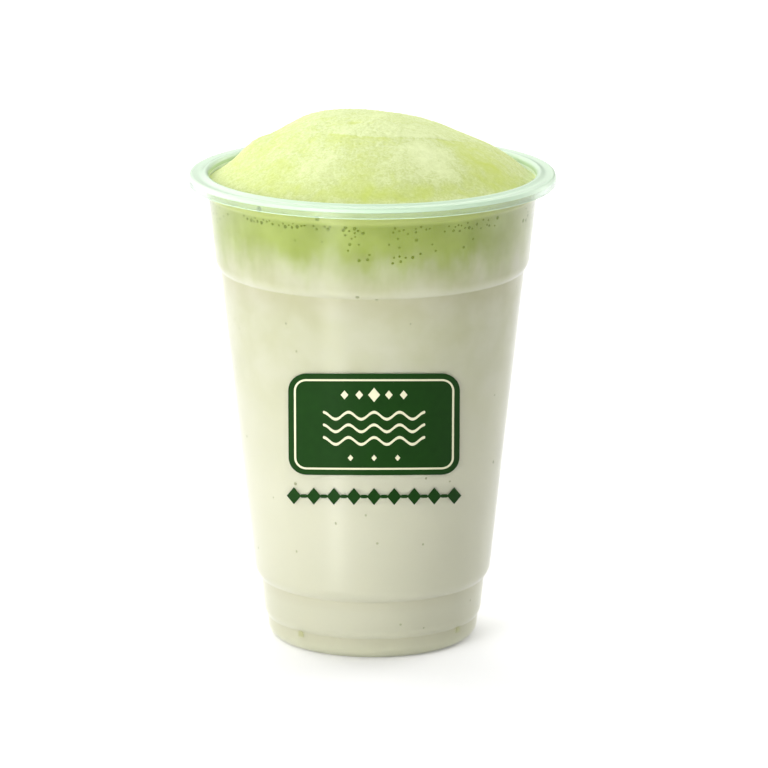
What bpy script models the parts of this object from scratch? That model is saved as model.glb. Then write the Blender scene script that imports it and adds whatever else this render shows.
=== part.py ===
"""Coconut drink under a green foam cap, in a clear takeaway cup with a sealing flange.

Three solids: the thin thermoformed cup, the milky drink that fills it, and the foam that lies on
the drink and domes over the rim. The origin is the centre of the circle that the cup stands on,
and +Z runs up the cup's axis. Everything is in metres.
"""

import math

import bmesh
import bpy
from mathutils import Matrix

MM = 0.001
WELD = 0.001 * MM  # points nearer than this are one point

# The cup, outside. Heights are above the surface that it stands on.
WALL = 0.6 * MM
SEGMENTS = 60
SHARP_EDGE = math.radians(30.0)  # edges that turn more than this show as corners

# The rim: a raised lip inside, a shallow valley, and a rounded shoulder with a skirt turned down.
RIM_DIAMETER = 95.0 * MM
LIP_TOP = 123.8 * MM
LIP_ROUNDING = 1.0 * MM
VALLEY = (44.8 * MM, 123.25 * MM)
SHOULDER_TOP = (46.6 * MM, 123.4 * MM)
SHOULDER_ROUNDING = 0.7 * MM
RIM_UNDERSIDE = 122.6 * MM
SKIRT_BOTTOM = 120.7 * MM
NECK_FLARE = 0.4 * MM
LIP_INNER_SLOPE = 50.0  # degrees of the lip's circle at which the valley begins

# The foot: a rounded standing ring round a pushed-up bottom panel.
FOOT_RADIUS = 27.5 * MM
FOOT_ROUNDING = 3.2 * MM
STANDING_INNER_RADIUS = 22.8 * MM
PANEL_RADIUS = 18.6 * MM
PANEL_RISE = 2.4 * MM
PANEL_SLOPE_SHARES = (0.0, 0.3, 0.5, 0.7, 1.0)

# The wall: straight bands that widen upwards, with a rounded shoulder between one and the next.
# Each band is (radius at its lower end, height there, radius at its upper end, height there).
FOOT_BAND = (FOOT_RADIUS, FOOT_ROUNDING, 27.8 * MM, 5.8 * MM)
BASE_BAND = (28.6 * MM, 8.4 * MM, 29.4 * MM, 16.0 * MM)
MAIN_BAND = (31.0 * MM, 19.6 * MM, 39.5 * MM, 98.4 * MM)
COLLAR_BAND = (40.8 * MM, 101.6 * MM, 42.5 * MM, 117.6 * MM)
NECK_BAND = (42.95 * MM, 118.4 * MM, 42.95 * MM, 122.2 * MM)

# The denesting lugs stand on the foot, under its shoulder.
LUG_ANGLES = tuple(math.radians(a) for a in (-42.0, 53.0, 138.0, 233.0))
LUG_WIDTH = 1.7 * MM
LUG_TOP = 5.9 * MM
LUG_BOTTOM = 3.6 * MM
LUG_REACH = 0.55 * MM
LUG_BOTTOM_REACH = 0.05 * MM

# The filling. The drink ends where the foam begins, and the foam climbs to just under the lip.
GAP = 0.3 * MM
FOAM_BOTTOM = 105.5 * MM
FOAM_EDGE = 121.3 * MM
DOME_RINGS = 18

# The dome: a broad crown with steep flanks, and soft swells and hollows on it.
CROWN_HEIGHT = 16.7 * MM
CROWN_SPREAD = 2.25
CROWN_SLOPE = 1.22
# Each swell is (x, y, half width, height); a hollow has a height under 0.
SWELLS = (
    (-15.0 * MM, 9.0 * MM, 12.0 * MM, 1.9 * MM),
    (22.0 * MM, -1.0 * MM, 10.0 * MM, -1.0 * MM),
    (-31.0 * MM, 2.5 * MM, 5.5 * MM, 1.9 * MM),
    (33.0 * MM, 6.0 * MM, 8.0 * MM, 1.2 * MM),
    (-11.0 * MM, -26.0 * MM, 8.0 * MM, 0.5 * MM),
)

# A fold in the foam, which winds outwards from the front to the right. Bearings run from the
# front, -Y, towards +X. The foam inside it stands a little higher than the foam outside it.
FOLD_START = math.radians(-20.0)
FOLD_END = math.radians(102.0)
FOLD_RADIUS = 16.3 * MM
FOLD_WIDENING = 12.0 * MM
FOLD_CURVE = 2.5
FOLD_STEP = 0.7 * MM
FOLD_WIDTH = 2.0 * MM
FOLD_FADE = math.radians(40.0)
FOLD_CENTRE = 0.6 * FOLD_RADIUS

# A furrow where the foam bends up to the rim, deepest in front.
FURROW_RADIUS = 36.5 * MM
FURROW_WIDTH = 2.6 * MM
FURROW_DEPTH = 0.7 * MM

# Swells, fold and furrow die away over this share of the radius, so that the edge stays level.
CALM_EDGE = 0.12


def smoothstep(t):
    """0 up to 0, 1 from 1, and an even S between."""
    t = min(max(t, 0.0), 1.0)
    return t * t * (3.0 - 2.0 * t)


def arc(centre, radius, start_deg, end_deg, steps):
    """Points (r, z) on a circle, both ends included."""
    points = []
    for i in range(steps + 1):
        angle = math.radians(start_deg + (end_deg - start_deg) * i / steps)
        points.append((centre[0] + radius * math.cos(angle), centre[1] + radius * math.sin(angle)))
    return points


def shoulder(below, above, steps):
    """The rounded step from the top of one band, bottom first, to the foot of the wider one above."""
    step_in = above[0] - below[2]
    drop = above[1] - below[3]
    turn = 2.0 * math.atan2(step_in, drop)
    radius = drop / math.sin(turn)
    centre = (above[0] - radius, above[1])
    return arc(centre, radius, -math.degrees(turn), 0.0, steps)


def bottom_skin(inset):
    """The cup's bottom from the axis out to the foot band, moved inwards by inset."""
    run = STANDING_INNER_RADIUS - PANEL_RADIUS
    points = [(0.0, PANEL_RISE + inset)]
    for share in PANEL_SLOPE_SHARES:
        points.append((PANEL_RADIUS + run * share, PANEL_RISE * (1.0 - smoothstep(share)) + inset))
    centre = (FOOT_RADIUS - FOOT_ROUNDING, FOOT_ROUNDING)
    return points + arc(centre, FOOT_ROUNDING - inset, -90.0, 0.0, 4)


def wall_skin(inset):
    """The wall from above the foot's rounding to the top of the neck, moved inwards by inset."""
    outline = [(FOOT_BAND[2], FOOT_BAND[3])]
    outline += shoulder(FOOT_BAND, BASE_BAND, 3)[1:]
    outline += shoulder(BASE_BAND, MAIN_BAND, 4)
    outline += shoulder(MAIN_BAND, COLLAR_BAND, 4)
    outline += [(COLLAR_BAND[2], COLLAR_BAND[3]), (NECK_BAND[0], NECK_BAND[1]), (NECK_BAND[2], NECK_BAND[3])]
    return [(r - inset, z) for r, z in outline]


def skin_radius(inset, height):
    """The wall's radius at a height, moved inwards by inset."""
    outline = wall_skin(inset)
    for (r0, z0), (r1, z1) in zip(outline, outline[1:]):
        if z0 <= height <= z1:
            return r0 + (r1 - r0) * (height - z0) / (z1 - z0)
    return outline[-1][0]


def rim_outline():
    """The rim in section, from the outside of the neck round the skirt and the lip to the inside."""
    outer = RIM_DIAMETER / 2.0
    inside = NECK_BAND[2] - WALL
    lip_centre = (inside + LIP_ROUNDING, LIP_TOP - LIP_ROUNDING)
    shoulder_centre = (SHOULDER_TOP[0], SHOULDER_TOP[1] - SHOULDER_ROUNDING)
    points = [
        (NECK_BAND[2] + NECK_FLARE, RIM_UNDERSIDE),
        (outer - WALL, RIM_UNDERSIDE),
        (outer - WALL, SKIRT_BOTTOM),
        (outer, SKIRT_BOTTOM),
    ]
    points += arc(shoulder_centre, SHOULDER_ROUNDING, 0.0, 90.0, 3)
    points.append(VALLEY)
    return points + arc(lip_centre, LIP_ROUNDING, LIP_INNER_SLOPE, 180.0, 4)


def turned(name, outline):
    """A mesh object turned about the Z axis from an outline of (r, z) points that starts and ends on it."""
    bm = bmesh.new()
    verts = [bm.verts.new((r, 0.0, z)) for r, z in outline]
    edges = [bm.edges.new(pair) for pair in zip(verts, verts[1:])]
    bmesh.ops.spin(
        bm,
        geom=verts + edges,
        cent=(0.0, 0.0, 0.0),
        axis=(0.0, 0.0, 1.0),
        angle=2.0 * math.pi,
        steps=SEGMENTS,
        use_merge=True,
    )
    bmesh.ops.remove_doubles(bm, verts=bm.verts, dist=WELD)
    bmesh.ops.recalc_face_normals(bm, faces=bm.faces)
    mesh = bpy.data.meshes.new(name)
    bm.to_mesh(mesh)
    bm.free()
    mesh.shade_smooth()
    mesh.set_sharp_from_angle(angle=SHARP_EDGE)
    obj = bpy.data.objects.new(name, mesh)
    bpy.context.scene.collection.objects.link(obj)
    return obj


def painted(obj, name, colour, roughness, alpha=1.0):
    """Gives the object its own Principled material."""
    material = bpy.data.materials.new(name)
    material.use_nodes = True
    shader = material.node_tree.nodes["Principled BSDF"]
    shader.inputs["Base Color"].default_value = (*colour, 1.0)
    shader.inputs["Roughness"].default_value = roughness
    shader.inputs["Metallic"].default_value = 0.0
    shader.inputs["Alpha"].default_value = alpha
    obj.data.materials.append(material)
    return obj


def make_lug(angle):
    """One denesting lug: a small wedge that hangs under the foot's shoulder and dies into the foot band."""
    root = FOOT_BAND[0] - WALL / 2.0
    top_out = FOOT_BAND[2] + LUG_REACH
    half = LUG_WIDTH / 2.0
    side = [
        (root, LUG_BOTTOM),
        (FOOT_BAND[0] + LUG_BOTTOM_REACH, LUG_BOTTOM),
        (top_out, LUG_TOP),
        (root, LUG_TOP),
    ]
    bm = bmesh.new()
    rows = [[bm.verts.new((r, y, z)) for r, z in side] for y in (-half, half)]
    bm.faces.new(rows[0])
    bm.faces.new(reversed(rows[1]))
    for i in range(len(side)):
        j = (i + 1) % len(side)
        bm.faces.new((rows[0][i], rows[1][i], rows[1][j], rows[0][j]))
    bmesh.ops.recalc_face_normals(bm, faces=bm.faces)
    # Angles run from the cup's front, which faces -Y, towards +X.
    turn = Matrix.Rotation(angle - math.pi / 2.0, 3, "Z")
    bmesh.ops.rotate(bm, verts=bm.verts, cent=(0.0, 0.0, 0.0), matrix=turn)
    mesh = bpy.data.meshes.new("lug")
    bm.to_mesh(mesh)
    bm.free()
    return bpy.data.objects.new("lug", mesh)


def fuse(obj, extras):
    """Joins the extra objects to obj with one Boolean union, and removes them."""
    collection = bpy.data.collections.new("fused")
    bpy.context.scene.collection.children.link(collection)
    for extra in extras:
        collection.objects.link(extra)
    union = obj.modifiers.new("union", "BOOLEAN")
    union.operation = "UNION"
    union.operand_type = "COLLECTION"
    union.collection = collection
    union.solver = "EXACT"
    bpy.context.view_layer.update()
    graph = bpy.context.evaluated_depsgraph_get()
    joined = bpy.data.meshes.new_from_object(obj.evaluated_get(graph))
    obj.modifiers.clear()
    obj.data = joined
    for extra in extras:
        bpy.data.objects.remove(extra)
    bpy.data.collections.remove(collection)


def make_cup():
    """The thin cup: outer skin up, round the flange, and down the inner skin."""
    outer = bottom_skin(0.0) + wall_skin(0.0)
    inner = bottom_skin(WALL) + wall_skin(WALL)
    cup = turned("cup", outer + rim_outline() + inner[::-1])
    fuse(cup, [make_lug(angle) for angle in LUG_ANGLES])
    return painted(cup, "clear_polypropylene", (0.80, 0.90, 0.80), 0.18, alpha=0.35)


def make_drink():
    """The milky drink, from the cup's floor to the underside of the foam."""
    inset = WALL + GAP
    top = FOAM_BOTTOM - GAP
    outline = [p for p in bottom_skin(inset) + wall_skin(inset) if p[1] < top]
    outline += [(skin_radius(inset, top), top), (0.0, top)]
    return painted(turned("drink", outline), "coconut_milk", (0.72, 0.72, 0.50), 0.35)


def fold_rise(x, y):
    """What the fold adds at a place: FOLD_STEP inside it, nothing outside, less towards its ends."""
    bearing = math.atan2(x, -y)
    along = (bearing - FOLD_START) / (FOLD_END - FOLD_START)
    radius = FOLD_RADIUS + FOLD_WIDENING * max(along, 0.0) ** FOLD_CURVE
    inside = smoothstep((radius - math.hypot(x, y)) / FOLD_WIDTH + 0.5)
    before = smoothstep((bearing - FOLD_START + FOLD_FADE) / FOLD_FADE)
    after = smoothstep((FOLD_END - bearing) / FOLD_FADE)
    # Towards the axis, where all bearings meet, the step dies away, so that the crown has no seam.
    off_axis = smoothstep(math.hypot(x, y) / FOLD_CENTRE)
    return FOLD_STEP * inside * before * after * off_axis


def dome_height(x, y):
    """The foam's height above its edge at a place on it: 0 all round the edge."""
    reach = math.hypot(x, y)
    out = min(reach / skin_radius(WALL + GAP, FOAM_EDGE), 1.0)
    height = CROWN_HEIGHT * (1.0 - out**CROWN_SPREAD) ** CROWN_SLOPE
    details = fold_rise(x, y)
    for centre_x, centre_y, half_width, swell in SWELLS:
        away = math.hypot(x - centre_x, y - centre_y) / half_width
        details += swell * math.exp(-away * away)
    if reach > 0.0:
        in_front = 0.5 - 0.5 * y / reach
        furrow = (reach - FURROW_RADIUS) / FURROW_WIDTH
        details -= FURROW_DEPTH * in_front * math.exp(-furrow * furrow)
    return height + details * smoothstep((1.0 - out) / CALM_EDGE)


def make_foam():
    """The foam: a disc on the drink, a wall against the cup, and the dome."""
    inset = WALL + GAP
    outline = [(0.0, FOAM_BOTTOM), (skin_radius(inset, FOAM_BOTTOM), FOAM_BOTTOM)]
    outline += [p for p in wall_skin(inset) if FOAM_BOTTOM < p[1] < FOAM_EDGE]
    edge = skin_radius(inset, FOAM_EDGE)
    outline.append((edge, FOAM_EDGE))
    outline += [(edge * i / DOME_RINGS, FOAM_EDGE) for i in range(DOME_RINGS - 1, -1, -1)]
    foam = turned("foam", outline)
    for vert in foam.data.vertices:
        x, y, z = vert.co
        if z > FOAM_EDGE - WELD:
            vert.co.z = FOAM_EDGE + dome_height(x, y)
    return painted(foam, "green_milk_foam", (0.74, 0.83, 0.30), 0.6)


def main():
    for obj in list(bpy.data.objects):
        bpy.data.objects.remove(obj)
    make_cup()
    make_drink()
    make_foam()


main()
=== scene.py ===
import math
import random

import bpy
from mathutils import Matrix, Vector


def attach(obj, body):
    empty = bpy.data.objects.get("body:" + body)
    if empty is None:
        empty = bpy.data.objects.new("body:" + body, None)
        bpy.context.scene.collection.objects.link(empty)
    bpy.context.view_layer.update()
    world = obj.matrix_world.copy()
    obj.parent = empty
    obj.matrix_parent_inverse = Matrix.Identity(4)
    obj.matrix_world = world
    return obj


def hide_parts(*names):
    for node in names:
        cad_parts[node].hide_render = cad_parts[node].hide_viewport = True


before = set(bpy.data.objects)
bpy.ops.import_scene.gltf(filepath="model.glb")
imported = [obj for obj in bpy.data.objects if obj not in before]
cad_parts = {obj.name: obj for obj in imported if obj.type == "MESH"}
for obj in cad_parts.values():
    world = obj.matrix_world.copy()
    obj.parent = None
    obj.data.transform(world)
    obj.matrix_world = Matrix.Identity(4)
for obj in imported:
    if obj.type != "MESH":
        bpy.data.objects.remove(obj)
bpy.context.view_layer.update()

mm = 0.001
slack = 0.01  # mm within which a place counts as on a line
creaseAngle = math.radians(24)  # an edge of a turned piece that bends by more stays sharp
weld = 0.002  # mm: vertices of a turned piece that lie closer are made one


# small helpers

def clearSelection():
    bpy.ops.object.select_all(action="DESELECT")


def pick(piece):
    clearSelection()
    piece.select_set(True)
    bpy.context.view_layer.objects.active = piece


def settle(piece):
    # place, turn and size go into the mesh, so the object itself ends at the origin
    pick(piece)
    bpy.ops.object.transform_apply(location=True, rotation=True, scale=True)


def applyModifiers(piece):
    pick(piece)
    for modifier in list(piece.modifiers):
        bpy.ops.object.modifier_apply(modifier=modifier.name)


def joinCopies(name, copies):
    clearSelection()
    for one in copies:
        one.select_set(True)
    bpy.context.view_layer.objects.active = copies[0]
    bpy.ops.object.join()
    piece = bpy.context.object
    piece.name = piece.data.name = name
    settle(piece)
    return piece


def copyOf(source, place, turn, size):
    copy = source.copy()
    copy.data = source.data.copy()
    bpy.context.scene.collection.objects.link(copy)
    copy.location = place
    copy.rotation_euler = turn
    copy.scale = size
    return copy


def smoothStep(t):
    t = min(max(t, 0.0), 1.0)
    return t * t * (3.0 - 2.0 * t)


def onWall(bearing, radius, height):
    # bearings run in degrees from the front, which is -Y, towards +X; radius and height in mm
    turn = math.radians(bearing)
    return Vector((radius * math.sin(turn), -radius * math.cos(turn), height)) * mm


def turnOutline(name, outline, sides):
    # draws the outline with one vertex, as (radius, height) in mm, and spins it round the Z axis
    clearSelection()
    bpy.ops.mesh.primitive_plane_add(size=mm)
    piece = bpy.context.object
    piece.name = piece.data.name = name
    bpy.ops.object.mode_set(mode="EDIT")
    bpy.ops.mesh.merge(type="CENTER")
    here = outline[0]
    bpy.ops.transform.translate(value=(here[0] * mm, 0, here[1] * mm))
    for there in outline[1:]:
        step = ((there[0] - here[0]) * mm, 0, (there[1] - here[1]) * mm)
        bpy.ops.mesh.extrude_vertices_move(TRANSFORM_OT_translate={"value": step})
        here = there
    bpy.ops.mesh.select_all(action="SELECT")
    bpy.ops.mesh.spin(steps=sides, angle=2 * math.pi, center=(0, 0, 0), axis=(0, 0, 1))
    bpy.ops.mesh.select_all(action="SELECT")
    bpy.ops.mesh.remove_doubles(threshold=weld * mm)
    bpy.ops.mesh.normals_make_consistent(inside=False)
    bpy.ops.object.mode_set(mode="OBJECT")
    bpy.ops.object.shade_smooth_by_angle(angle=creaseAngle)
    return piece


# camera

view = {
    "tilt": 13.645,  # degrees below the horizon
    "distance": 1.400,  # metres, from the point on the cup's axis that it looks at
    "aimHeight": 0.0669,  # metres above the table
    "lens": 251.55,  # mm
    "shift": 11.5 / 768,  # the cup stands a little left of the middle
    "sensor": 36,  # mm across
    "farthest": 20,  # metres that it sees
}


def addCamera():
    camera = bpy.data.cameras.new("camera")
    camera.lens = view["lens"]
    camera.sensor_width = view["sensor"]
    camera.shift_x = view["shift"]
    camera.clip_end = view["farthest"]
    holder = bpy.data.objects.new("camera", camera)
    bpy.context.scene.collection.objects.link(holder)
    tilt = math.radians(view["tilt"])
    away = view["distance"]
    holder.location = (0, -away * math.cos(tilt), view["aimHeight"] + away * math.sin(tilt))
    holder.rotation_euler = (math.pi / 2 - tilt, 0, 0)
    bpy.context.scene.camera = holder


# the cup, in mm: radii, and heights above the table

cup = {
    "wall": 0.6,  # thickness of the sheet that it is formed from
    "sides": 224,  # faces round the cup
    "foot": (27.5, 3.2),  # radius, and how far its edge is rounded
    "footArc": (-90.0, 0.0, 10),  # each arc: where it starts and ends in degrees, and how many faces
    "panel": (18.6, 22.8, 2.4),  # the pushed-up bottom: flat to here, down by here, this high
    "panelSteps": 8,  # faces down its side
    "bands": [  # straight stretches of wall: radius and height below, radius and height above
        (27.5, 3.2, 27.8, 5.8),
        (28.6, 8.4, 29.4, 16.0),
        (31.0, 19.6, 39.5, 98.4),
        (40.8, 101.6, 42.5, 117.6),
        (42.95, 118.4, 42.95, 122.2),
    ],
    "shoulderSteps": (6, 9, 9),  # faces up each rounded shoulder between the bands
    "rimRadius": 47.5,
    "lip": (123.8, 1.0),  # top of the raised lip inside the rim, and its rounding
    "lipArc": (55.0, 180.0, 9),
    "valley": [(45.4, 123.29), (44.9, 123.26), (44.4, 123.36)],  # the hollow in the rim's upper face
    "brow": (46.6, 123.4, 0.7),  # where the rim turns down: radius, height and rounding
    "browArc": (0.0, 100.0, 7),
    "ease": 0.15,  # the small radius that forming leaves at the other corners
    "rimUnderside": 122.6,
    "skirtBottom": 120.7,
    "skirtEdge": 120.92,  # up to here the skirt's cut edge is white
    "lugs": (-42, 53, 138, 233),  # bearings of the lugs that keep stacked cups apart
    "lugSize": (1.7, 4.2, 5.9, 0.4),  # width, bottom, top, and how far it stands out
    "lugRounding": (0.25, 2),  # how far its edges are rounded, and in how many faces
    "lugTaper": 0.8,  # how much of what stands out it loses towards its bottom
    "lugClear": (0.06, 0.1),  # a face is a lug's from so far outside the wall, and up to so far over its top
    "foamEdge": 121.3,  # where the foam leaves the wall
    "skirtInside": 46.0,  # what lies further out than this, and under the rim, is the skirt
}


def arcPoints(centre, radius, startDeg, endDeg, steps):
    turns = [math.radians(startDeg + (endDeg - startDeg) * i / steps) for i in range(steps + 1)]
    return [(centre[0] + radius * math.cos(a), centre[1] + radius * math.sin(a)) for a in turns]


def shoulderPoints(below, above, steps):
    # the rounded step between two bands: upright at the top, turned in at the bottom
    stepIn, drop = above[0] - below[2], above[1] - below[3]
    turn = 2.0 * math.atan2(stepIn, drop)
    radius = drop / math.sin(turn)
    return arcPoints((above[0] - radius, above[1]), radius, -math.degrees(turn), 0.0, steps)


def bottomOutline(inset):
    flat, ring, rise = cup["panel"]
    steps = cup["panelSteps"]
    points = [(0.0, rise + inset)]
    for i in range(steps + 1):
        share = i / steps
        points.append((flat + (ring - flat) * share, rise * (1.0 - smoothStep(share)) + inset))
    radius, rounding = cup["foot"]
    return points + arcPoints((radius - rounding, rounding), rounding - inset, *cup["footArc"])


def wallOutline(inset):
    bands = cup["bands"]
    points = [(bands[0][2], bands[0][3])]
    for below, above, steps in zip(bands[:3], bands[1:4], cup["shoulderSteps"]):
        points += shoulderPoints(below, above, steps)
        points.append((above[2], above[3]))
    points += [(bands[4][0], bands[4][1]), (bands[4][0], cup["foamEdge"]), (bands[4][2], bands[4][3])]
    return [(r - inset, z) for r, z in points]


def wallRadius(inset, height):
    points = wallOutline(inset)
    for (r0, z0), (r1, z1) in zip(points, points[1:]):
        if z0 <= height <= z1:
            return r0 + (r1 - r0) * (height - z0) / (z1 - z0)
    return points[-1][0] if height > points[-1][1] else points[0][0]


def rimOutline():
    outer, wall = cup["rimRadius"], cup["wall"]
    neck = cup["bands"][4][2]
    under, skirt = cup["rimUnderside"], cup["skirtBottom"]
    lipTop, lipRounding = cup["lip"]
    browRadius, browTop, rounding = cup["brow"]
    ease = cup["ease"]
    points = [
        (neck + ease, under - ease),
        (neck + 3 * ease, under),
        (outer - wall - 2 * ease, under),
        (outer - wall, under - 2 * ease),
        (outer - wall, skirt + ease),
        (outer - wall + ease, skirt),
        (outer - ease, skirt),
        (outer, skirt + ease),
        (outer, cup["skirtEdge"]),
        (outer, under - 2 * ease),
    ]
    points += arcPoints((browRadius, browTop - rounding), rounding, *cup["browArc"])
    points += cup["valley"]
    return points + arcPoints((neck - wall + lipRounding, lipTop - lipRounding), lipRounding, *cup["lipArc"])


def partOfCup(radius, height):
    # which part of the cup the middle of a face lies in
    neckRadius, _, _, neckTop = cup["bands"][-1]
    inNeck = radius < neckRadius - cup["wall"] / 2
    if height > cup["rimUnderside"] - slack or (inNeck and height > neckTop):
        return "rim"
    if inNeck and height > cup["foamEdge"]:
        return "neck"
    if height > cup["skirtBottom"] and radius > cup["skirtInside"]:
        hazy = cup["skirtEdge"] < height < cup["rimUnderside"] - 2 * cup["ease"]
        return "skirt" if hazy else "rim"
    _, lugBottom, lugTop, _ = cup["lugSize"]
    outside, over = cup["lugClear"]
    if lugBottom < height < lugTop + over and radius > wallRadius(0, height) + outside:
        return "lug"
    return "wall"


def finishCup(shell):
    # the thin wall is clear, and what stays thick or draws white in the forming is milky
    clear = {"Transmission Weight": 1.0}
    hazy = {"Transmission Weight": 0.88}
    frosted = {"Transmission Weight": 0.8}
    milky = {"Specular IOR Level": 0.3}
    materials = {
        "wall": formedPolypropylene("clearPolypropylene", ("#fdfffd", "#fafdfa"), (0.05, 0.08), clear),
        "rim": formedPolypropylene("milkyPolypropyleneRim", ("#c5ddc1", "#bfd7bb"), (0.18, 0.25), milky),
        "skirt": formedPolypropylene("hazyPolypropyleneSkirt", ("#e6f4e7", "#deeedf"), (0.1, 0.15), hazy),
        # the lug is frosted, and tinted darker than the milk round it as painted shade on the bump
        "lug": formedPolypropylene("frostedLugPaintedShade", ("#d3d6a8", "#cdd0a1"), (0.35, 0.45), frosted),
        # the neck above the foam is far paler than the rim: painted light, standing in for light that the
        # translucent plastic lets in
        "neck": formedPolypropylene("milkyNeckPaintedLight", ("#e9f6ec", "#e3f1e7"), (0.18, 0.25), milky),
    }
    parts = list(materials)
    finish(shell, materials[parts[0]], "cup")
    for part in parts[1:]:
        shell.data.materials.append(materials[part])
    for face in shell.data.polygons:
        middle = face.center / mm
        face.material_index = parts.index(partOfCup(math.hypot(middle.x, middle.y), middle.z))


def makeLug(bearing):
    width, bottom, top, reach = cup["lugSize"]
    foot = cup["bands"][0]
    inner = foot[0] - cup["wall"] / 2
    outer = foot[2] + reach
    clearSelection()
    bpy.ops.mesh.primitive_cube_add(size=1, scale=((outer - inner) * mm, width * mm, (top - bottom) * mm))
    lug = bpy.context.object
    bpy.ops.object.transform_apply(location=False, rotation=False, scale=True)
    bpy.ops.object.mode_set(mode="EDIT")
    rounding, steps = cup["lugRounding"]
    bpy.ops.mesh.bevel(offset=rounding * mm, segments=steps)
    bpy.ops.object.mode_set(mode="OBJECT")
    half = (top - bottom) / 2 * mm
    for vertex in lug.data.vertices:
        down = (half - vertex.co.z) / (2 * half)
        if vertex.co.x > 0:
            vertex.co.x -= cup["lugTaper"] * reach * mm * down
    lug.location = onWall(bearing, (inner + outer) / 2, (top + bottom) / 2)
    lug.rotation_euler = (0, 0, math.radians(bearing - 90))
    settle(lug)
    return lug


def makeCup():
    outline = bottomOutline(0) + wallOutline(0) + rimOutline()
    outline += (bottomOutline(cup["wall"]) + wallOutline(cup["wall"]))[::-1]
    shell = turnOutline("clearCup", outline, cup["sides"])
    for bearing in cup["lugs"]:
        lug = makeLug(bearing)
        union = shell.modifiers.new("lug", "BOOLEAN")
        union.operation = "UNION"
        union.object = lug
        union.solver = "EXACT"
        applyModifiers(shell)
        bpy.data.objects.remove(lug)
    pick(shell)
    bpy.ops.object.shade_smooth_by_angle(angle=creaseAngle)
    print("cup formed,", len(shell.data.polygons), "faces")
    return shell


# the milky drink, in mm

milk = {
    "reach": 0.1,  # how far the filling goes into the wall, so that no air shows between them
    "top": 105.5,  # where the foam begins
    "rings": 6,  # of faces across its flat top
}


def makeMilk():
    inset = cup["wall"] - milk["reach"]
    outline = [p for p in bottomOutline(inset) + wallOutline(inset) if p[1] < milk["top"]]
    edge = wallRadius(inset, milk["top"])
    outline += [(edge * i / milk["rings"], milk["top"]) for i in range(milk["rings"], -1, -1)]
    piece = turnOutline("coconutMilk", outline, cup["sides"])
    print("drink poured,", len(piece.data.polygons), "faces")
    return piece


# the green foam, in mm

foam = {
    "rings": 150,  # of faces from its edge to its middle
    "sides": 448,  # faces round it
    "smooth": 32,  # an edge that bends by more degrees stays sharp
    "heightFade": 0.12,  # the outermost share of the dome, over which its details die away
    "crown": (16.7, 2.25, 1.22),  # height, and the two powers that shape its flanks
    "swells": [  # x, y, half width and height of each soft rise or hollow
        (-15, 9, 12, 1.9),
        (22, -1, 10, -1.0),
        (-31, 2.5, 5.5, 1.9),
        (33, 6, 8, 1.2),
        (-11, -26, 8, 0.5),
    ],
    "fold": (-20, 102, 16.3, 12.0, 2.5),  # bearings of its ends, radius, widening and its power
    "foldStep": (0.3, 1.4, 40),  # height, width, and the bearing over which its ends fade
    "foldInner": 0.6,  # inside this share of its radius it fades towards the middle
    "furrow": (36.5, 2.6, 0.7),  # radius, half width and depth of the bend up to the rim
    "furrowMiddle": (8, 38),  # the bearing where it is deepest, and how far it spreads
    "pits": [  # burst bubbles on the skin: x, y, half width and depth
        (-4.8, -7.0, 1.5, 0.3),
        (-3.2, -7.6, 0.8, 0.15),
        (-8.0, -18.0, 0.4, 0.25),
        (-3.1, -19.4, 0.4, 0.25),
        (3.1, -19.4, 0.4, 0.22),
        (9.5, -27.5, 0.5, 0.2),
        (-16.0, -14.0, 0.45, 0.18),
        (17.0, -22.0, 0.5, 0.2),
    ],
    "lumps": (9.0, 0.34),  # size and depth of the soft billows
    "grain": (0.9, 0.15),  # size and depth of the woolly grain that the whisk leaves
    "calmEdge": 3.0,  # how near the wall both die away
    "calmSide": (10.0, 24.0, 0.7),  # x from and to where the grain gets smoother, and by how much
    "dry": (5.0, 0.2),  # how far inside the fold the skin is drier and paler, and how much
    "wet": (4.5, 0.42),  # how far outside it the skin is wetter and greener, and how much
    "wetEdge": 0.5,  # how wide the change between them is
    "wetFurrow": 0.8,  # how much wetter and darker the furrow is, for its depth: its wet skin, and painted shade in the hollow
    "wetPits": 1.8,  # and the burst bubbles, likewise wet and with painted shade
    "paintedLightRim": (42.4, 1.8, 0.7),  # radius of the paler edge by the wall, its width and how much: painted light that lifts the shade where the foam meets the wall
    "patches": [  # x, y, half width and how much paler, or greener where it is less than 0: partly drier and wetter skin, partly painted light and shade that even out how the dome is lit
        (14, -21, 8, 0.62),
        (-26, -24, 9, -0.22),
        (-25, -5, 11, -0.25),
        (30, -15, 9, -0.62),
        (-13, -27, 6, 0.3),
        (-2, -31, 5, -0.25),
    ],
}


def foldPlace(x, y):
    # how far a place is inside the fold, in mm, and how much of the fold there is at its bearing
    start, end, radius, widening, power = foam["fold"]
    _, _, fade = foam["foldStep"]
    bearing = math.degrees(math.atan2(x, -y))
    along = max((bearing - start) / (end - start), 0.0)
    share = smoothStep((bearing - start + fade) / fade) * smoothStep((end - bearing) / fade)
    share *= smoothStep(math.hypot(x, y) / (foam["foldInner"] * radius))
    return radius + widening * along ** power - math.hypot(x, y), share


def furrowDepth(x, y):
    radius, halfWidth, depth = foam["furrow"]
    middle, spread = foam["furrowMiddle"]
    bearing = math.degrees(math.atan2(x, -y))
    depth *= math.exp(-((bearing - middle) / spread) ** 2)
    return depth * math.exp(-((math.hypot(x, y) - radius) / halfWidth) ** 2)


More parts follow.
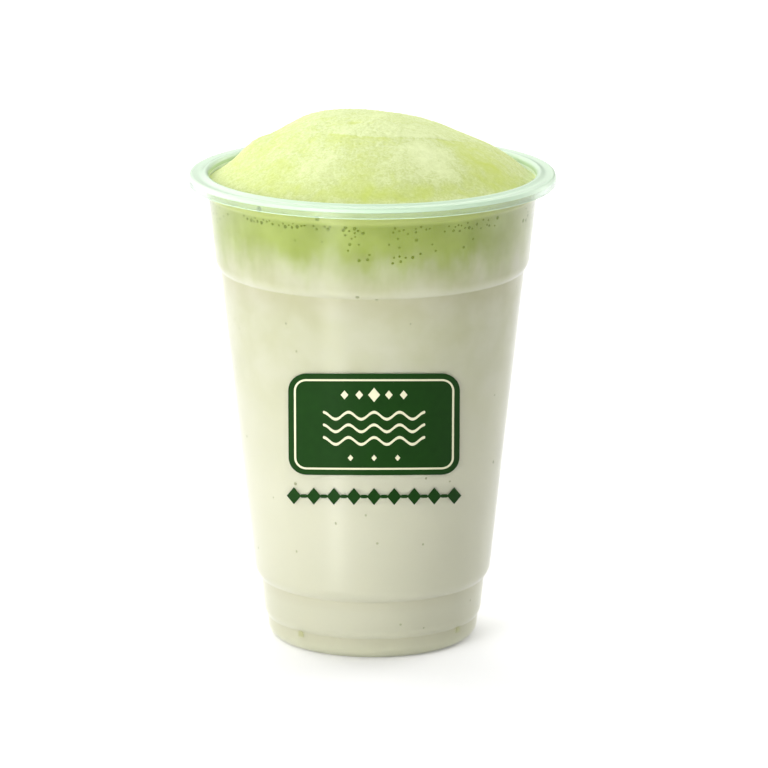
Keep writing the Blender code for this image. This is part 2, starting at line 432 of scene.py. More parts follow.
def wetnessAndShade(x, y):
    # 0.5 on plain foam; more where it is wet and green, and where shade is painted in the furrow, the pits
    # and some patches; less where it is dry and pale, and where light is painted by the wall
    inside, share = foldPlace(x, y)
    dryWidth, dryness = foam["dry"]
    wetWidth, wetter = foam["wet"]
    over = smoothStep(inside / foam["wetEdge"] + 0.5)
    change = (1 - over) * wetter * math.exp(min(inside, 0) / wetWidth)
    change -= over * dryness * math.exp(-max(inside, 0) / dryWidth)
    change = change * share + foam["wetFurrow"] * furrowDepth(x, y)
    change += foam["wetPits"] * sum(bump(x, y, pit) for pit in foam["pits"])
    change -= sum(bump(x, y, patch) for patch in foam["patches"])
    rim, rimWidth, rimPaintedLight = foam["paintedLightRim"]
    change -= rimPaintedLight * math.exp((math.hypot(x, y) - rim) / rimWidth)
    return min(max(0.5 + 0.5 * change, 0.0), 1.0)


def bump(x, y, place):
    return place[3] * math.exp(-((x - place[0]) ** 2 + (y - place[1]) ** 2) / place[2] ** 2)


def domeHeight(x, y, edgeRadius):
    reach = math.hypot(x, y)
    out = min(reach / edgeRadius, 1.0)
    height, spread, slope = foam["crown"]
    step, width, _ = foam["foldStep"]
    inside, share = foldPlace(x, y)
    details = step * share * smoothStep(inside / width + 0.5) - furrowDepth(x, y)
    details += sum(bump(x, y, swell) for swell in foam["swells"])
    details -= sum(bump(x, y, pit) for pit in foam["pits"])
    return height * (1.0 - out ** spread) ** slope + details * smoothStep((1.0 - out) / foam["heightFade"])


def roughen(piece, name, size, depth, weights):
    clouds = bpy.data.textures.new(name, "CLOUDS")
    clouds.noise_scale = size * mm
    clouds.noise_depth = 1
    displace = piece.modifiers.new(name, "DISPLACE")
    displace.texture = clouds
    displace.texture_coords = "LOCAL"
    displace.strength = depth * mm * 2  # the pattern swings half of this each way
    displace.vertex_group = weights


def makeFoam():
    inset = cup["wall"] - milk["reach"]
    bottom, top = milk["top"], cup["foamEdge"]
    outline = [(0.0, bottom), (wallRadius(inset, bottom), bottom)]
    outline += [p for p in wallOutline(inset) if bottom < p[1] < top]
    edge = wallRadius(inset, top)
    outline += [(edge * i / foam["rings"], top) for i in range(foam["rings"], -1, -1)]
    piece = turnOutline("greenFoam", outline, foam["sides"])
    skin = piece.vertex_groups.new(name="skin")
    wet = [0.5] * len(piece.data.vertices)
    start, end, calming = foam["calmSide"]
    for vertex in piece.data.vertices:
        x, y, z = vertex.co / mm
        if z > top - slack:
            vertex.co.z = (top + domeHeight(x, y, edge)) * mm
            wet[vertex.index] = wetnessAndShade(x, y)
            rough = smoothStep((edge - math.hypot(x, y)) / foam["calmEdge"])
            rough *= 1.0 - calming * smoothStep((x - start) / (end - start))
            skin.add([vertex.index], rough, "REPLACE")
    roughen(piece, "billows", *foam["lumps"], "skin")
    roughen(piece, "grain", *foam["grain"], "skin")
    applyModifiers(piece)
    piece.vertex_groups.clear()
    piece.data.attributes.new("wetnessAndShade", "FLOAT", "POINT").data.foreach_set("value", wet)
    bpy.ops.object.shade_smooth_by_angle(angle=math.radians(foam["smooth"]))
    print("foam whisked,", len(piece.data.polygons), "faces")
    return piece


# bubbles and specks against the wall

bubbles = {
    "placeSeed": 11,
    "shapeSeed": 3,
    "clusters": [  # bearings from and to, heights from and to in mm, how many
        (-51, -28, 116.5, 117.6, 110),
        (-28, -14, 116.6, 117.6, 18),
        (-11, -3, 115.9, 117.5, 22),
        (-9.5, -4.5, 110.5, 116, 9),
        (-5, -1, 107.8, 111, 6),
        (7, 20, 115.6, 117.4, 26),
        (8, 15, 112, 116, 4),
        (4, 17, 107.8, 110.4, 7),
        (24, 51, 115.0, 117.4, 34),
        (-34, 40, 108, 115, 9),
        (60, 175, 112.5, 117.4, 60),
        (-180, -60, 112.5, 117.4, 60),
    ],
    "width": (0.55, 1.0),  # smallest and largest, in mm
    "smaller": 2.2,  # the more, the more of them are small
    "apart": 0.9,  # how far their centres keep from each other
    "flatness": 0.35,
}

specks = {
    "placeSeed": 5,
    "shapeSeed": 4,
    "spots": [  # bearing, height and width in mm of flecks in the milk, by the wall
        (-5.5, 99.2, 1.2), (1.5, 98.5, 1.0), (-31, 83.3, 0.8), (-35, 90.4, 0.6), (14.5, 91.6, 0.5),
        (-36, 47.2, 1.0), (-50.5, 41.9, 0.6), (-16.8, 37.7, 0.7), (-3, 40.3, 0.6), (2.2, 32.6, 0.7),
        (-38.2, 28.5, 0.7), (23.8, 49.6, 0.6), (36, 47.8, 0.6), (24, 31.6, 0.6), (14.8, 9.6, 0.7),
        (28, 8.0, 0.5),
    ],
    "behind": 34,  # more of them, drawn at random round the sides and back
    "behindPlaces": ((60, 300), (8, 97), (0.4, 0.9)),  # their bearings, heights and widths
    "flatness": 0.3,
}

smudges = {
    "shapeSeed": 6,
    "spots": [(-42, 120.0, 1.5), (-19, 119.4, 1.3)],  # wet spots inside the neck
    "flatness": 0.25,
}

dots = {
    "detail": 2,  # how often the bead's faces are divided
    "widths": (0.85, 1.15),  # no two are of one shape: how far their width and height stray
    "heights": (0.85, 1.2),
}


def makeDots(name, spots, kind):
    # one small bead, pressed flat against the inside of the wall, and its copies
    draw = random.Random(kind["shapeSeed"])
    clearSelection()
    bpy.ops.mesh.primitive_ico_sphere_add(subdivisions=dots["detail"], radius=0.5 * mm)
    bead = bpy.context.object
    bpy.ops.object.mode_set(mode="EDIT")
    bpy.ops.mesh.select_all(action="SELECT")
    bpy.ops.transform.resize(value=(1, kind["flatness"], 1))
    bpy.ops.object.mode_set(mode="OBJECT")
    bpy.ops.object.shade_smooth()
    copies = []
    for bearing, height, width in spots:
        place = onWall(bearing, wallRadius(cup["wall"] - milk["reach"], height), height)
        size = (width * draw.uniform(*dots["widths"]), width, width * draw.uniform(*dots["heights"]))
        copies.append(copyOf(bead, place, (0, 0, math.radians(bearing)), size))
    bpy.data.objects.remove(bead)
    piece = joinCopies(name, copies)
    print(name, len(spots), "pieces,", len(piece.data.polygons), "faces")
    return piece


def bubbleSpots():
    draw = random.Random(bubbles["placeSeed"])
    small, large = bubbles["width"]
    spots = []
    taken = []
    for start, end, low, high, count in bubbles["clusters"]:
        for _ in range(count):
            width = small + (large - small) * draw.random() ** bubbles["smaller"]
            bearing, height = draw.uniform(start, end), draw.uniform(low, high)
            place = onWall(bearing, cup["bands"][3][2], height)
            if all((place - other).length > bubbles["apart"] * mm for other in taken):
                taken.append(place)
                spots.append((bearing, height, width))
    return spots


def speckSpots():
    draw = random.Random(specks["placeSeed"])
    spots = list(specks["spots"])
    for _ in range(specks["behind"]):
        spots.append(tuple(draw.uniform(*limits) for limits in specks["behindPlaces"]))
    return spots


# the print on the front, in mm

badge = {
    "width": 43.8,
    "height": 27.4,
    "centre": (0.4, 65.0),  # x and height
    "corner": 4.6,
    "cornerSteps": 8,  # faces round each corner
    "lineInset": 1.5,  # green border outside the pale line
    "lineWidth": 0.5,
    "ink": 0.03,  # thickness of one pass of ink
    "lift": 0.02,  # clear of the wall, so that the faces don't fight
    "slices": 0.9,  # how finely the flat drawing is cut before it is wrapped
    "levelSlices": 4,  # how many times coarser upwards, where the wall is straight
    "ahead": 60,  # how far ahead of the cup's axis it is drawn
    "smooth": 40,  # an edge that bends by more degrees stays sharp
}

waves = {
    "count": 3,
    "length": 26.0,
    "spacing": 3.4,
    "swing": 0.95,  # half the height of a wave
    "period": 6.5,
    "stroke": 0.75,
    "ends": 0.3,  # rounding
    "slices": 0.4,
    "middle": 64.0,  # height of the middle one
}

lozenges = {
    "top": [(-7.5, 73.0, 1.7), (-3.75, 73.0, 1.7), (0, 73.0, 2.7), (3.75, 73.0, 1.7), (7.5, 73.0, 1.7)],
    "bottom": [(-6.0, 56.0, 1.2), (0.0, 56.0, 1.2), (6.0, 56.0, 1.2)],
    "slimness": 0.8,  # width for their height
    "slices": 0.6,
}

printRow = {
    "height": 45.5,
    "count": 9,  # lozenges, with a bar between each two
    "width": 43.8,
    "lozenge": 3.3,
    "bar": (1.75, 0.95),
    "barEnds": 0.3,  # rounding
}


def flatShape(name, centre, size, corner=0.0, turn=0.0):
    # a flat shape that faces the front, drawn ahead of the cup
    clearSelection()
    bpy.ops.mesh.primitive_plane_add(size=1, rotation=(math.pi / 2, 0, 0))
    piece = bpy.context.object
    piece.name = piece.data.name = name
    bpy.ops.object.transform_apply(location=False, rotation=True, scale=False)
    bpy.ops.object.mode_set(mode="EDIT")
    if turn:
        bpy.ops.transform.rotate(value=turn, orient_axis="Y", center_override=(0, 0, 0))
    bpy.ops.transform.resize(value=(size[0] * mm, 1, size[1] * mm), center_override=(0, 0, 0))
    if corner:
        bpy.ops.mesh.bevel(offset=corner * mm, segments=badge["cornerSteps"], affect="VERTICES")
    bpy.ops.object.mode_set(mode="OBJECT")
    piece.location = (centre[0] * mm, -badge["ahead"] * mm, centre[1] * mm)
    settle(piece)
    return piece


def sliceUp(piece, spacing):
    # cuts the flat drawing into strips, so that it can bend round the cup
    xs = [vertex.co.x for vertex in piece.data.vertices]
    zs = [vertex.co.z for vertex in piece.data.vertices]
    pick(piece)
    bpy.ops.object.mode_set(mode="EDIT")
    upwards = badge["levelSlices"] * spacing
    for low, high, axis, gap in ((min(xs), max(xs), 0, spacing), (min(zs), max(zs), 2, upwards)):
        cuts = int((high - low) / (gap * mm))
        for i in range(1, cuts + 1):
            place = [0, 0, 0]
            normal = [0, 0, 0]
            place[axis] = low + (high - low) * i / (cuts + 1)
            normal[axis] = 1
            bpy.ops.mesh.select_all(action="SELECT")
            bpy.ops.mesh.bisect(plane_co=place, plane_no=normal)
    bpy.ops.object.mode_set(mode="OBJECT")


def archDown(piece):
    # prints on tapered cups are arched, so that they read straight from a seat at the table
    slope = math.tan(math.radians(view["tilt"]))
    for vertex in piece.data.vertices:
        radius = wallRadius(0, vertex.co.z / mm) * mm
        vertex.co.z -= (radius - math.sqrt(radius ** 2 - vertex.co.x ** 2)) * slope


def wrapOn(piece, shell, layer):
    # lays the ink on the wall; a second pass of ink lies on the first
    archDown(piece)
    wrap = piece.modifiers.new("wrap", "SHRINKWRAP")
    wrap.target = shell
    wrap.wrap_method = "PROJECT"
    wrap.use_project_x = wrap.use_project_z = False
    wrap.use_project_y = True
    wrap.use_positive_direction = True
    wrap.use_negative_direction = False
    wrap.wrap_mode = "ABOVE_SURFACE"
    wrap.offset = (badge["lift"] + layer * (badge["ink"] + badge["lift"])) * mm
    thicken = piece.modifiers.new("ink", "SOLIDIFY")
    thicken.thickness = badge["ink"] * mm
    thicken.offset = 1
    applyModifiers(piece)
    bpy.ops.object.shade_smooth_by_angle(angle=math.radians(badge["smooth"]))


def makeBadge(shell):
    piece = flatShape("printedBadge", badge["centre"], (badge["width"], badge["height"]), badge["corner"])
    sliceUp(piece, badge["slices"])
    wrapOn(piece, shell, 0)
    print("badge printed,", len(piece.data.polygons), "faces")
    return piece


def makeLine(shell):
    # the pale line inside the badge's edge: what is left between two insets
    size = (badge["width"] - 2 * badge["lineInset"], badge["height"] - 2 * badge["lineInset"])
    piece = flatShape("paleLine", badge["centre"], size, badge["corner"] - badge["lineInset"])
    bpy.ops.object.mode_set(mode="EDIT")
    bpy.ops.mesh.select_all(action="SELECT")
    bpy.ops.mesh.inset(thickness=badge["lineWidth"] * mm)
    bpy.ops.mesh.delete(type="FACE")
    bpy.ops.object.mode_set(mode="OBJECT")
    sliceUp(piece, badge["slices"])
    return piece


def makeWave(height):
    size = (waves["length"], waves["stroke"])
    piece = flatShape("wave", (badge["centre"][0], height), size, waves["ends"])
    sliceUp(piece, waves["slices"])
    for vertex in piece.data.vertices:
        along = vertex.co.x / mm - badge["centre"][0]
        vertex.co.z += waves["swing"] * mm * math.cos(2 * math.pi * along / waves["period"])
    return piece


def makeLozenge(centre, size):
    piece = flatShape("lozenge", centre, (size * lozenges["slimness"], size), 0.0, math.radians(45))
    sliceUp(piece, lozenges["slices"])
    return piece


def makeMotifs(shell):
    parts = [makeLine(shell)]
    for i in range(waves["count"]):
        parts.append(makeWave(waves["middle"] + (i - (waves["count"] - 1) / 2) * waves["spacing"]))
    for x, height, size in lozenges["top"] + lozenges["bottom"]:
        parts.append(makeLozenge((badge["centre"][0] + x, height), size))
    piece = joinCopies("printedMotifs", parts)
    wrapOn(piece, shell, 1)
    print("motifs printed,", len(piece.data.polygons), "faces")
    return piece


def makePrintRow(shell):
    parts = []
    count, height = printRow["count"], printRow["height"]
    pitch = (printRow["width"] - printRow["lozenge"] * lozenges["slimness"]) / (count - 1)
    for i in range(count):
        x = badge["centre"][0] + (i - (count - 1) / 2) * pitch
        parts.append(makeLozenge((x, height), printRow["lozenge"]))
        if i < count - 1:
            bar = flatShape("bar", (x + pitch / 2, height), printRow["bar"], printRow["barEnds"])
            sliceUp(bar, lozenges["slices"])
            parts.append(bar)
    piece = joinCopies("printedRow", parts)
    wrapOn(piece, shell, 0)
    print("row printed,", len(piece.data.polygons), "faces")
    return piece


# finishes

def linearColour(hexText):
    # sRGB as a designer writes it, to the linear light that the shaders work in
    channels = [int(hexText[i:i + 2], 16) / 255 for i in (1, 3, 5)]
    return [c / 12.92 if c <= 0.04045 else ((c + 0.055) / 1.055) ** 2.4 for c in channels] + [1.0]


def addNode(tree, kind, settings=None, links=None):
    node = tree.nodes.new(kind)
    for key, value in (settings or {}).items():
        if isinstance(key, str) and hasattr(node, key):
            setattr(node, key, value)
        else:
            node.inputs[key].default_value = value
    for key, source in (links or {}).items():
        tree.links.new(source, node.inputs[key])
    return node


def addMix(tree, factor, first, second):
    # first and second are hex colours or colour sockets
    node = addNode(tree, "ShaderNodeMix", {"data_type": "RGBA"}, {0: factor})
    for socket, value in ((node.inputs[6], first), (node.inputs[7], second)):
        if isinstance(value, str):
            socket.default_value = linearColour(value)
        else:
            tree.links.new(value, socket)
    return node.outputs[2]


def addNoise(tree, place, size, **settings):
    # uneven patches of this size in mm, as numbers round 0.5
    settings["Scale"] = 1 / (size * mm)
    return addNode(tree, "ShaderNodeTexNoise", settings, {"Vector": place}).outputs[0]


def addRise(tree, source, start, end, low=0.0, high=1.0):
    # low where the source is at its start, or before, and high where it is at its end, or past it
    settings = {1: start, 2: end, 3: low, 4: high}
    return addNode(tree, "ShaderNodeMapRange", settings, {0: source}).outputs[0]


def addSwing(tree, noise, swing):
    # a noise as a change: up to half the swing either way
    settings = {"operation": "MULTIPLY_ADD", 1: swing, 2: -swing / 2}
    return addNode(tree, "ShaderNodeMath", settings, {0: noise}).outputs[0]


def addRelief(tree, shader, noise, depth, strength):
    settings = {"Strength": strength, "Distance": depth * mm}
    relief = addNode(tree, "ShaderNodeBump", settings, {"Height": noise})
    tree.links.new(relief.outputs[0], shader.inputs["Normal"])


def newMaterial(name, values):
    # the last thing it returns is the place on the piece, by which the patterns are laid out
    material = bpy.data.materials.new(name)
    material.use_nodes = True
    tree = material.node_tree
    shader = tree.nodes["Principled BSDF"]
    for key, value in values.items():
        shader.inputs[key].default_value = value
    return material, tree, shader, addNode(tree, "ShaderNodeTexCoord").outputs["Object"]


patchy = (0.3, 0.7)  # between these a noise changes from one kind of patch to the other

sheet = {
    "haze": 6,  # size in mm of its duller and glossier patches
    "skin": (0.9, 0.02, 0.08),  # the mould's blasted skin: size and depth in mm, and how much of it shows
}


def formedPolypropylene(name, colours, gloss, values):
    # food-grade polypropylene, drawn hot over a mould: clear in the thin wall, milky and
    # faintly green where the rim stays thick, with a soft satin gloss
    material, tree, shader, place = newMaterial(name, {"IOR": 1.49, **values})
    haze = addNoise(tree, place, sheet["haze"], Detail=2.0)
    tree.links.new(addMix(tree, haze, *colours), shader.inputs["Base Color"])
    tree.links.new(addRise(tree, haze, *patchy, *gloss), shader.inputs["Roughness"])
    # the real skin is ten times finer, and would be lost between the pixels
    size, depth, strength = sheet["skin"]
    addRelief(tree, shader, addNoise(tree, place, size, Detail=2.0), depth, strength)
    return material


layers = {
    "milk": ("#e8e6d1", "#e5e3cc"),  # plain, and in the slightly richer clouds
    "milkHigh": ("#e0dfc6", "#d2d2ab"),  # under the foam, which tints it in uneven clouds
    "tint": (45.0, 98.0),  # heights in mm over which the milk takes up the foam's tint
    "milkLow": "#eeedd3",  # paler, in the thick foot
    "paleFoot": (8.0, 0.5),  # heights in mm over which it gets so
    "clouds": (14, 9),  # size in mm of the richer ones, and of the tinted ones and the wet foam
    "ledges": [  # height in mm and tone: a highlight is painted along the ledge corners, and shade under them
        (2.0, 0.5), (5.7, 0.1), (5.9, 0.7), (7.5, 0.5), (12.5, 0.5), (15.9, 0.2), (16.1, 0.75), (18.5, 0.5),
        (90.0, 0.5), (98.2, 0.1), (98.5, 0.85), (99.2, 0.75), (100.8, 0.5),
    ],
    "paintedHighlight": ("#f6f5e8", 0.45),  # painted highlight: colour where the tone is 1, and how much of it
    "shaded": ("#b5a878", 0.23),  # painted shade: colour where it is 0, and how much of it
    "foamByWall": ("#bccb66", "#a6b648"),  # where it is airy, and where it is wet
    "foamInNeck": "#d1dc80",
    "neck": (117.5, 118.6),  # heights in mm over which the foam gets paler, above the bubbles
    # painted light: the foam under the rim is paler, standing in for light that the translucent rim lets
    # through
    "paintedLightUnderRim": "#f6fb90",
    "underRim": (119.6, 120.8),  # and over which that painted light comes up
    "blend": (99.5, 113.0),  # heights in mm between which milk turns to foam
    "tongues": (7, 15, 0.45),  # of foam into milk: width and swing in mm, and width for their height
    "veils": [(24, 38, 0.55), (-28, -44, 0.3)],  # milk smeared over the foam: from and to x in mm, and share
}


def addLedgeTones(tree, height, milkColour):
    # one ramp up the cup, whose grey says where a highlight is painted along the ledge corners and where
    # shade is painted under them
    stops = layers["ledges"]
    top = stops[-1][0]
    tones = addNode(tree, "ShaderNodeValToRGB", links={0: addRise(tree, height, 0.0, top * mm)})
    elements = tones.color_ramp.elements
    elements.remove(elements[0])
    for index, (place, tone) in enumerate(stops):
        stop = elements[0] if index == 0 else elements.new(place / top)
        stop.position = place / top
        stop.color = (tone, tone, tone, 1)
    for (colour, amount), full in ((layers["shaded"], 0.0), (layers["paintedHighlight"], 1.0)):
        share = addRise(tree, tones.outputs[0], 0.5, full, 0.0, amount)
        milkColour = addMix(tree, share, milkColour, colour)
    return milkColour


def addLayers(tree, place):
    # the colour behind the wall: milk below, foam above, with soft uneven tongues between
    across, _, height = addNode(tree, "ShaderNodeSeparateXYZ", links={0: place}).outputs
    over = {name: [limit * mm for limit in layers[name]] for name in ("tint", "paleFoot", "neck", "underRim")}
    width, swing, slimness = layers["tongues"]
    tall = addNode(tree, "ShaderNodeMapping", {"Scale": (1, 1, slimness)}, {"Vector": place}).outputs[0]
    tongues = addNoise(tree, tall, width, Detail=6.0, Roughness=0.62)
    shift = addSwing(tree, tongues, swing * mm)
    level = addNode(tree, "ShaderNodeMath", {"operation": "ADD"}, {0: height, 1: shift})
    low, high = layers["blend"]
    blend = addNode(tree, "ShaderNodeMapRange",
                    {"interpolation_type": "SMOOTHSTEP", 1: low * mm, 2: high * mm}, {0: level.outputs[0]})
    large, small = layers["clouds"]
    lowMilk = addMix(tree, addNoise(tree, place, large, Detail=2.0), *layers["milk"])
    patches = addRise(tree, addNoise(tree, place, small, Detail=4.0), *patchy)
    highMilk = addMix(tree, patches, *layers["milkHigh"])
    tintedMilk = addMix(tree, addRise(tree, height, *over["tint"]), lowMilk, highMilk)
    plainMilk = addMix(tree, addRise(tree, height, *over["paleFoot"]), tintedMilk, layers["milkLow"])
    milkColour = addLedgeTones(tree, height, plainMilk)
    foamColour = addMix(tree, patches, *layers["foamByWall"])
    foamColour = addMix(tree, addRise(tree, height, *over["neck"]), foamColour, layers["foamInNeck"])
    foamColour = addMix(tree, addRise(tree, height, *over["underRim"]), foamColour, layers["paintedLightUnderRim"])
    for start, end, share in layers["veils"]:
        veil = addRise(tree, across, start * mm, end * mm, 0.0, share)
        foamColour = addMix(tree, veil, foamColour, milkColour)
    return height, addMix(tree, blend.outputs[0], milkColour, foamColour)


def coconutMilkDrink():
    # coconut milk with longan syrup: opaque, off-white, wet against the wall, so it has no gloss
    # of its own
    values = {"Roughness": 0.45, "IOR": 1.35, "Specular IOR Level": 0.2}
    material, tree, shader, place = newMaterial("coconutMilkDrink", values)
    _, wallColour = addLayers(tree, place)
    tree.links.new(wallColour, shader.inputs["Base Color"])
    return material


foamSkin = {
    "low": ("#bdc982", "#d2dc9d"),  # by the rim: darker in the hollows of the grain and paler on its ridges, as painted shade and painted highlight
    "high": ("#c8d490", "#dbe5b0"),  # and on top, paler: the drier foam there, and a painted highlight where the light from above falls
    "climb": (123.0, 136.0),  # heights in mm between which it changes from one to the other
    "wet": "#c2d05e",
    "dry": "#e9f2c0",
    "mottle": (4, 0.6),  # size in mm of its wet and dry streaks, and how strong they are
    "wool": (0.9, 0.12, 0.6),  # size and depth in mm of the grain, and how much of it shows
    "ridges": (0.35, 0.65),  # where the grain's noise is a hollow and where a ridge
    "start": (121.0, 121.8),  # heights in mm over which it takes over from the foam by the wall
}


def whiskedMilkFoam():
    # milk whisked with green tea: bubbles too fine to see, which scatter light like wool, so the
    # skin is matte and its shadows are soft
    values = {"Roughness": 0.75, "IOR": 1.35, "Specular IOR Level": 0.25}
    material, tree, shader, place = newMaterial("whiskedMilkFoam", values)
    height, wallColour = addLayers(tree, place)
    climb, start = ([limit * mm for limit in foamSkin[name]] for name in ("climb", "start"))
    size, depth, strength = foamSkin["wool"]
    wool = addNoise(tree, place, size, Detail=4.0, Roughness=0.6, Distortion=1.2)
    # the grain's hollows are painted darker and its ridges paler, and the top paler still: painted shade and
    # highlight
    ridges = addRise(tree, wool, *foamSkin["ridges"])
    low = addMix(tree, ridges, *foamSkin["low"])
    high = addMix(tree, ridges, *foamSkin["high"])
    plain = addMix(tree, addRise(tree, height, *climb), low, high)
    # the whisk leaves it unevenly wet, in streaks a few millimetres long
    streak, change = foamSkin["mottle"]
    mottle = addSwing(tree, addNoise(tree, place, streak, Detail=3.0, Distortion=0.8), change)
    wetnessAndShade = addNode(tree, "ShaderNodeAttribute", {"attribute_name": "wetnessAndShade"}).outputs["Fac"]
    wet = addNode(tree, "ShaderNodeMath", {"operation": "ADD"}, {0: wetnessAndShade, 1: mottle}).outputs[0]
    greened = addMix(tree, addRise(tree, wet, 0.5, 1.0), plain, foamSkin["wet"])
    skinColour = addMix(tree, addRise(tree, wet, 0.5, 0.0), greened, foamSkin["dry"])
    colour = addMix(tree, addRise(tree, height, *start), wallColour, skinColour)
    tree.links.new(colour, shader.inputs["Base Color"])
    addRelief(tree, shader, wool, depth, strength)
    return material


films = {
    "bubble": ("#8c9e1c", "#82940f"),  # thin, and where it is thicker
    "drop": ("#a3b54c", "#9aac40"),
    "fleck": ("#a9ab80", "#cfd0ab"),
    "patches": {"film": 3, "fleck": 5},  # their sizes in mm
}


def wetFilm(name, colours):
    # what is wet against the wall has no bubbles to scatter the light, so it is darker and greener
    values = {"Roughness": 0.3, "IOR": 1.33, "Specular IOR Level": 0.2}
    material, tree, shader, place = newMaterial(name, values)
    tone = addNoise(tree, place, films["patches"]["film"])
    tree.links.new(addMix(tree, tone, *colours), shader.inputs["Base Color"])
    return material


def milkFleck():
    # specks of fruit and coconut that float against the wall, half sunk in the milk
    values = {"Roughness": 0.5, "IOR": 1.4, "Specular IOR Level": 0.2}
    material, tree, shader, place = newMaterial("coconutFleck", values)
    tone = addNoise(tree, place, films["patches"]["fleck"])
    tree.links.new(addMix(tree, tone, *films["fleck"]), shader.inputs["Base Color"])
    return material


inks = {
    "green": ("#103009", "#153a0c"),  # full, and where it is a little thin
    "cream": ("#d3d2b4", "#cbcaaa"),
    "mottle": 2.5,  # size in mm of the thin places
    "dull": (0.32, 0.44),  # how rough it is where it is full, and where it is thin
}


def screenInk(name, colours):
    # screen ink: one even opaque pass, duller than the bare cup round it, with a faint mottle
    material, tree, shader, place = newMaterial(name, {"IOR": 1.5, "Specular IOR Level": 0.07})
    mottle = addNoise(tree, place, inks["mottle"], Detail=3.0)
    tree.links.new(addMix(tree, mottle, *colours), shader.inputs["Base Color"])
    tree.links.new(addRise(tree, mottle, 0.0, 1.0, *inks["dull"]), shader.inputs["Roughness"])
    return material


def finish(piece, material, node=None):
    piece.data.materials.clear()
    piece.data.materials.append(material)
    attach(piece, "root")
    if node:
        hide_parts(node)


# the studio: a white table in a dark tent with lit panels

tent = {
    "walls": [  # upright panels: bearing, narrowness and strength
        (-130, 20, 3.3),
        (-110, 20, 1.3),
        (-50, 20, 2.7),
        (-36, 50, 4.2),
        (-24, 50, 4.9),
        (0, 20, 0.55),
        (110, 20, 1.6),
        (130, 20, 4.0),
    ],
    "ceiling": [  # bearing, elevation, narrowness and strength
        (190, 40, 8, 3.0),
        (110, 50, 8, 0.42),
    ],
}

table = {
    "size": 12.0,  # metres across
    "paper": "#f4f4f4",
    "glow": 0.13,  # the sheet is lit from below, so that it stays white under the cup
    "stripes": [(-29, 80, 1.9), (-70, 2, 0.42)],  # painted light that glows on it in strips, for the cup to reflect: bearing, narrowness, strength
    "stripeStart": (0.045, 0.1),  # metres from the cup's axis over which that comes up
}


def addPanel(tree, source, towards, narrowness, strength, others):
    # adds one panel to the others: brightest in its middle, and fading evenly to its edges
    facing = addNode(tree, "ShaderNodeVectorMath", {"operation": "DOT_PRODUCT", 1: towards}, {0: source})
    front = addNode(tree, "ShaderNodeMath", {"operation": "MAXIMUM", 1: 0.0}, {0: facing.outputs["Value"]})
    fade = addNode(tree, "ShaderNodeMath", {"operation": "POWER", 1: narrowness}, {0: front.outputs[0]})
    total = addNode(tree, "ShaderNodeMath", {"operation": "MULTIPLY_ADD", 1: strength}, {0: fade.outputs[0]})
    if others:
        tree.links.new(others, total.inputs[2])
    else:
        total.inputs[2].default_value = 0.0
    return total.outputs[0]


def flattened(tree, source):
    # the level part of a direction, one unit long
    level = addNode(tree, "ShaderNodeVectorMath", {"operation": "MULTIPLY", 1: (1, 1, 0)}, {0: source})
    return addNode(tree, "ShaderNodeVectorMath", {"operation": "NORMALIZE"}, {0: level.outputs[0]}).outputs[0]


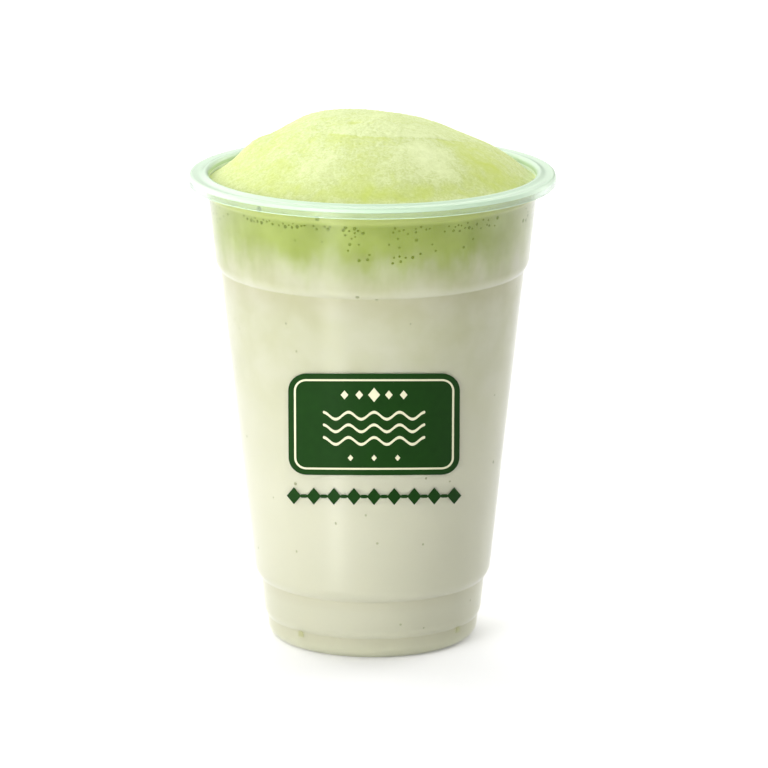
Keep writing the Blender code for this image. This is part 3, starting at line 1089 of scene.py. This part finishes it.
def addTent():
    world = bpy.data.worlds.new("tent")
    bpy.context.scene.world = world
    world.use_nodes = True
    tree = world.node_tree
    direction = addNode(tree, "ShaderNodeTexCoord").outputs["Generated"]
    around = flattened(tree, direction)
    height = addNode(tree, "ShaderNodeSeparateXYZ", links={0: direction}).outputs[2]
    light = None
    for bearing, narrowness, strength in tent["walls"]:
        light = addPanel(tree, around, onWall(bearing, 1, 0).normalized(), narrowness, strength, light)
    # the walls' panels fade towards the ceiling
    fade = addNode(tree, "ShaderNodeMath", {"operation": "MULTIPLY"}, {0: height, 1: height})
    keep = addNode(tree, "ShaderNodeMath", {"operation": "SUBTRACT", 0: 1.0}, {1: fade.outputs[0]})
    upright = addNode(tree, "ShaderNodeMath", {"operation": "MULTIPLY"}, {0: light, 1: keep.outputs[0]})
    light = upright.outputs[0]
    for bearing, elevation, narrowness, strength in tent["ceiling"]:
        lift = math.radians(elevation)
        towards = onWall(bearing, math.cos(lift), math.sin(lift)).normalized()
        light = addPanel(tree, direction, towards, narrowness, strength, light)
    tree.links.new(light, tree.nodes["Background"].inputs["Strength"])
    tree.nodes["Background"].inputs["Color"].default_value = (1, 1, 1, 1)


def makeFloor():
    clearSelection()
    bpy.ops.mesh.primitive_plane_add(size=table["size"])
    floor = bpy.context.object
    floor.name = "studioFloor"
    values = {"Base Color": linearColour(table["paper"]), "Roughness": 0.9, "Emission Color": (1, 1, 1, 1)}
    material, tree, shader, place = newMaterial("whitePaper", values)
    around = flattened(tree, place)
    glow = None
    for bearing, narrowness, strength in table["stripes"]:
        glow = addPanel(tree, around, onWall(bearing, 1, 0).normalized(), narrowness, strength, glow)
    reach = addNode(tree, "ShaderNodeVectorMath", {"operation": "LENGTH"}, {0: place}).outputs["Value"]
    near, far = table["stripeStart"]
    rise = addNode(tree, "ShaderNodeMapRange",
                   {"interpolation_type": "SMOOTHSTEP", 1: near, 2: far}, {0: reach})
    both = addNode(tree, "ShaderNodeMath", {"operation": "MULTIPLY_ADD", 2: table["glow"]},
                   {0: glow, 1: rise.outputs[0]})
    tree.links.new(both.outputs[0], shader.inputs["Emission Strength"])
    floor.data.materials.append(material)


# build

addCamera()
cupShell = makeCup()
badgePiece = makeBadge(cupShell)
motifs = makeMotifs(cupShell)
row = makePrintRow(cupShell)
milkBody = makeMilk()
foamBody = makeFoam()
bubblePiece = makeDots("wallBubbles", bubbleSpots(), bubbles)
speckPiece = makeDots("milkFlecks", speckSpots(), specks)
smudgePiece = makeDots("neckDrops", smudges["spots"], smudges)

greenInk = screenInk("greenScreenInk", inks["green"])
finishCup(cupShell)
finish(milkBody, coconutMilkDrink(), "drink")
finish(foamBody, whiskedMilkFoam(), "foam")
finish(badgePiece, greenInk)
finish(row, greenInk)
finish(motifs, screenInk("creamScreenInk", inks["cream"]))
finish(bubblePiece, wetFilm("wetBubbleFilm", films["bubble"]))
finish(speckPiece, milkFleck())
finish(smudgePiece, wetFilm("wetNeckDrop", films["drop"]))

makeFloor()
addTent()
bpy.context.scene.view_settings.view_transform = "Standard"
print("studio lit")
